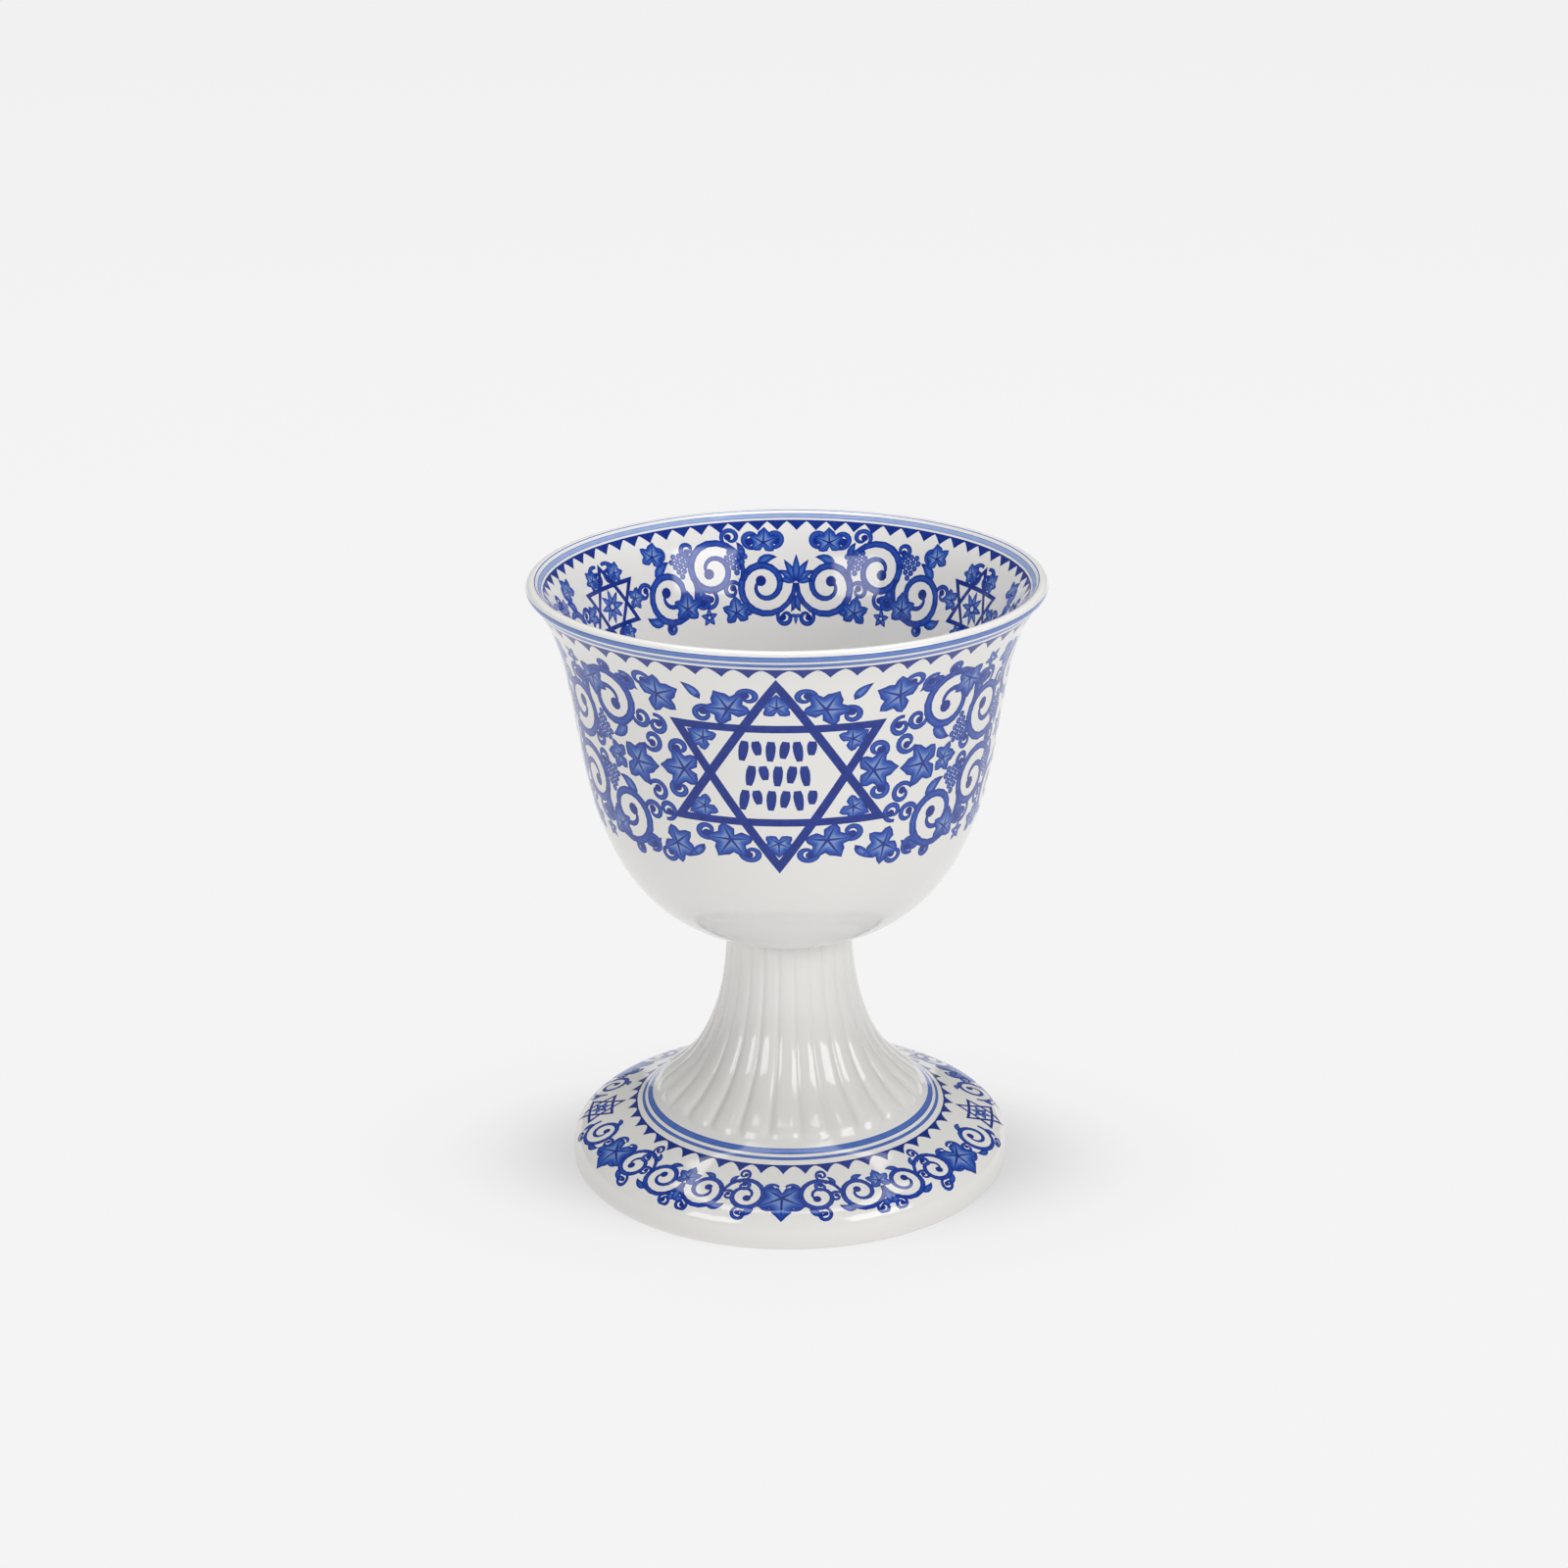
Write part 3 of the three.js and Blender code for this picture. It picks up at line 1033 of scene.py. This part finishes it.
GLAZE_IOR = 1.5
ROUGHNESS_LEAST = 0.05
ROUGHNESS_MOST = 0.11
MOTTLE_SCALE = 700
MOTTLE_DETAIL = 3
INK_LEAST = 0.86
INK_MOST = 1.1
RIPPLE_SCALE = 45
RIPPLE_DETAIL = 2
WAVER_STRENGTH = 0.12
WAVER_DEPTH = 0.0004
# Colours from bare porcelain to the full strength of ink, as a screen shows them
INK_STOPS = (
    (0.0, "e4e3e0"), (0.2, "b0c0e2"), (0.42, "6683be"), (0.62, "305cb4"), (0.85, "123898"), (1.0, "08247a"),
)


def screen_colour(code):
    """A colour as a screen shows it, six hex digits, in the renderer's linear light."""
    linear = []
    for place in (0, 2, 4):
        value = int(code[place:place + 2], 16) / 255
        linear.append(value / 12.92 if value <= 0.04045 else ((value + 0.055) / 1.055) ** 2.4)
    return (*linear, 1)


def fill_ramp(ramp, stops):
    """Gives a colour ramp its stops, each a position and a colour."""
    while len(ramp.elements) < len(stops):
        ramp.elements.new(0.5)
    for element, (position, colour) in zip(ramp.elements, stops):
        element.position = position
        element.color = colour


glaze = bpy.data.materials.new("glazed_porcelain")
glaze.use_nodes = True
nodes = glaze.node_tree.nodes
links = glaze.node_tree.links
shader = nodes["Principled BSDF"]
shader.inputs["IOR"].default_value = GLAZE_IOR
coordinates = nodes.new("ShaderNodeTexCoord")

ink_layer = nodes.new("ShaderNodeAttribute")
ink_layer.attribute_name = "ink"
mottle = nodes.new("ShaderNodeTexNoise")
mottle.inputs["Scale"].default_value = MOTTLE_SCALE
mottle.inputs["Detail"].default_value = MOTTLE_DETAIL
links.new(coordinates.outputs["Object"], mottle.inputs["Vector"])
unevenness = nodes.new("ShaderNodeMapRange")
unevenness.inputs["To Min"].default_value = INK_LEAST
unevenness.inputs["To Max"].default_value = INK_MOST
links.new(mottle.outputs["Fac"], unevenness.inputs["Value"])
laid_ink = nodes.new("ShaderNodeMath")
laid_ink.operation = "MULTIPLY"
links.new(ink_layer.outputs["Fac"], laid_ink.inputs[0])
links.new(unevenness.outputs["Result"], laid_ink.inputs[1])
cobalt = nodes.new("ShaderNodeValToRGB")
ink_colours = [(position, screen_colour(code)) for position, code in INK_STOPS]
fill_ramp(cobalt.color_ramp, ink_colours)
links.new(laid_ink.outputs["Value"], cobalt.inputs["Fac"])
links.new(cobalt.outputs["Color"], shader.inputs["Base Color"])

gloss = nodes.new("ShaderNodeMapRange")
gloss.inputs["To Min"].default_value = ROUGHNESS_LEAST
gloss.inputs["To Max"].default_value = ROUGHNESS_MOST
ripple = nodes.new("ShaderNodeTexNoise")
ripple.inputs["Scale"].default_value = RIPPLE_SCALE
ripple.inputs["Detail"].default_value = RIPPLE_DETAIL
links.new(coordinates.outputs["Object"], ripple.inputs["Vector"])
links.new(ripple.outputs["Fac"], gloss.inputs["Value"])
links.new(gloss.outputs["Result"], shader.inputs["Roughness"])
waver = nodes.new("ShaderNodeBump")
waver.inputs["Strength"].default_value = WAVER_STRENGTH
waver.inputs["Distance"].default_value = WAVER_DEPTH
links.new(ripple.outputs["Fac"], waver.inputs["Height"])
links.new(waver.outputs["Normal"], shader.inputs["Normal"])
cup_data.materials.append(glaze)

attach(cup, "root")
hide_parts("kiddush_cup")


# The floor: a wide sheet of pale studio paper, laid without a seam. It glows evenly, as paper does in bright
# studio light, and a painted shadow dims that glow close round the foot, where the cup would keep light away.

FLOOR_SIZE = 60
PAPER_TONE = 0.04
PAPER_ROUGHNESS = 0.8
# Metres from the cup and how the paper glows there, dimmed close to the foot by the painted shadow. The
# metres are counted shorter to the sides and longer to the front and back, so that the painted shadow reaches
# out sideways.
GLOW_AND_PAINTED_SHADOW_STOPS = ((0.035, 0.64), (0.0415, 0.725), (0.048, 0.795), (0.056, 0.842), (0.075, 0.862))
GLOW_REACH = 0.15
PAINTED_SHADOW_SHAPE = (0.85, 1.4, 1)

floor_mesh = bmesh.new()
bmesh.ops.create_grid(floor_mesh, x_segments=1, y_segments=1, size=FLOOR_SIZE / 2)
floor_data = bpy.data.meshes.new("studio_floor")
floor_mesh.to_mesh(floor_data)
floor_mesh.free()
studio_floor = bpy.data.objects.new("studio_floor", floor_data)
bpy.context.collection.objects.link(studio_floor)

paper = bpy.data.materials.new("pale_paper")
paper.use_nodes = True
paper_nodes = paper.node_tree.nodes
paper_links = paper.node_tree.links
paper_shader = paper_nodes["Principled BSDF"]
paper_shader.inputs["Base Color"].default_value = (PAPER_TONE, PAPER_TONE, PAPER_TONE, 1)
paper_shader.inputs["Roughness"].default_value = PAPER_ROUGHNESS
paper_shader.inputs["Specular IOR Level"].default_value = 0
paper_shader.inputs["Emission Strength"].default_value = 1
paper_place = paper_nodes.new("ShaderNodeTexCoord")
painted_shadow_shape = paper_nodes.new("ShaderNodeMapping")
painted_shadow_shape.inputs["Scale"].default_value = PAINTED_SHADOW_SHAPE
from_cup = paper_nodes.new("ShaderNodeVectorMath")
from_cup.operation = "LENGTH"
spread = paper_nodes.new("ShaderNodeMapRange")
spread.inputs["From Max"].default_value = GLOW_REACH
# The glow ramp: its darker start is the painted shadow round the foot, dimming the paper's glow there
glow_and_painted_shadow = paper_nodes.new("ShaderNodeValToRGB")
glow_and_painted_shadow_colours = [(distance / GLOW_REACH, (level, level, level, 1)) for distance, level in GLOW_AND_PAINTED_SHADOW_STOPS]
fill_ramp(glow_and_painted_shadow.color_ramp, glow_and_painted_shadow_colours)
paper_links.new(paper_place.outputs["Object"], painted_shadow_shape.inputs["Vector"])
paper_links.new(painted_shadow_shape.outputs["Vector"], from_cup.inputs[0])
paper_links.new(from_cup.outputs["Value"], spread.inputs["Value"])
paper_links.new(spread.outputs["Result"], glow_and_painted_shadow.inputs["Fac"])
paper_links.new(glow_and_painted_shadow.outputs["Color"], paper_shader.inputs["Emission Color"])
floor_data.materials.append(paper)


# The light: a dim white room with three soft boxes, lamps behind white cloth. One stands at the front on
# either side of the camera, and one hangs overhead and a little behind the cup.

ROOM_COLOUR = (1, 1, 1, 1)
ROOM_STRENGTH = 0.2
room = bpy.data.worlds.new("dim_room")
room.use_nodes = True
surroundings = room.node_tree.nodes["Background"]
surroundings.inputs["Color"].default_value = ROOM_COLOUR
surroundings.inputs["Strength"].default_value = ROOM_STRENGTH
bpy.context.scene.world = room
bpy.context.scene.view_settings.view_transform = "Standard"

# Name, turn from the front and rise above the table in degrees, width and height in metres, radiance
SOFT_BOXES = (
    ("left_soft_box", -37.4, 21, 0.66, 0.58, 4.4),
    ("right_soft_box", 50.6, 26, 0.88, 0.68, 5.0),
    ("top_soft_box", 180, 82, 1.3, 1.3, 3.6),
)
LIGHT_DISTANCE = 1.5
LIGHT_AIM = Vector((0, 0, 0.06))
for name, turn, rise, width, height, radiance in SOFT_BOXES:
    soft_box = bpy.data.lights.new(name, "AREA")
    soft_box.shape = "RECTANGLE"
    soft_box.size = width
    soft_box.size_y = height
    soft_box.energy = radiance * math.pi * width * height
    lamp = bpy.data.objects.new(name, soft_box)
    outward = LIGHT_DISTANCE * math.cos(math.radians(rise))
    lamp.location = LIGHT_AIM + Vector((
        outward * math.sin(math.radians(turn)),
        -outward * math.cos(math.radians(turn)),
        LIGHT_DISTANCE * math.sin(math.radians(rise)),
    ))
    lamp.rotation_euler = (LIGHT_AIM - lamp.location).to_track_quat("-Z", "Y").to_euler()
    bpy.context.collection.objects.link(lamp)


# The camera: a long lens on a stand, a little to the right of the star. It stands above the rim and looks
# down by about twenty degrees, with a trace of roll.

SENSOR_WIDTH = 36
CAMERA_DISTANCE = 0.56
CAMERA_HEIGHT = 0.274
CAMERA_TURN = math.radians(2.6)
CAMERA_PITCH = math.radians(19.73)
CAMERA_ROLL = math.radians(-0.39)
CAMERA_LENS = 75.87
CAMERA_SHIFT = -0.0027

camera_data = bpy.data.cameras.new("camera")
camera_data.sensor_width = SENSOR_WIDTH
camera_data.lens = CAMERA_LENS
camera_data.shift_x = CAMERA_SHIFT
camera = bpy.data.objects.new("camera", camera_data)
aim = Matrix.Rotation(CAMERA_TURN, 4, "Z") @ Matrix.Rotation(math.pi / 2 - CAMERA_PITCH, 4, "X")
aim = aim @ Matrix.Rotation(CAMERA_ROLL, 4, "Z")
aim.translation = (
    CAMERA_DISTANCE * math.sin(CAMERA_TURN), -CAMERA_DISTANCE * math.cos(CAMERA_TURN), CAMERA_HEIGHT
)
camera.matrix_world = aim
bpy.context.collection.objects.link(camera)
bpy.context.scene.camera = camera
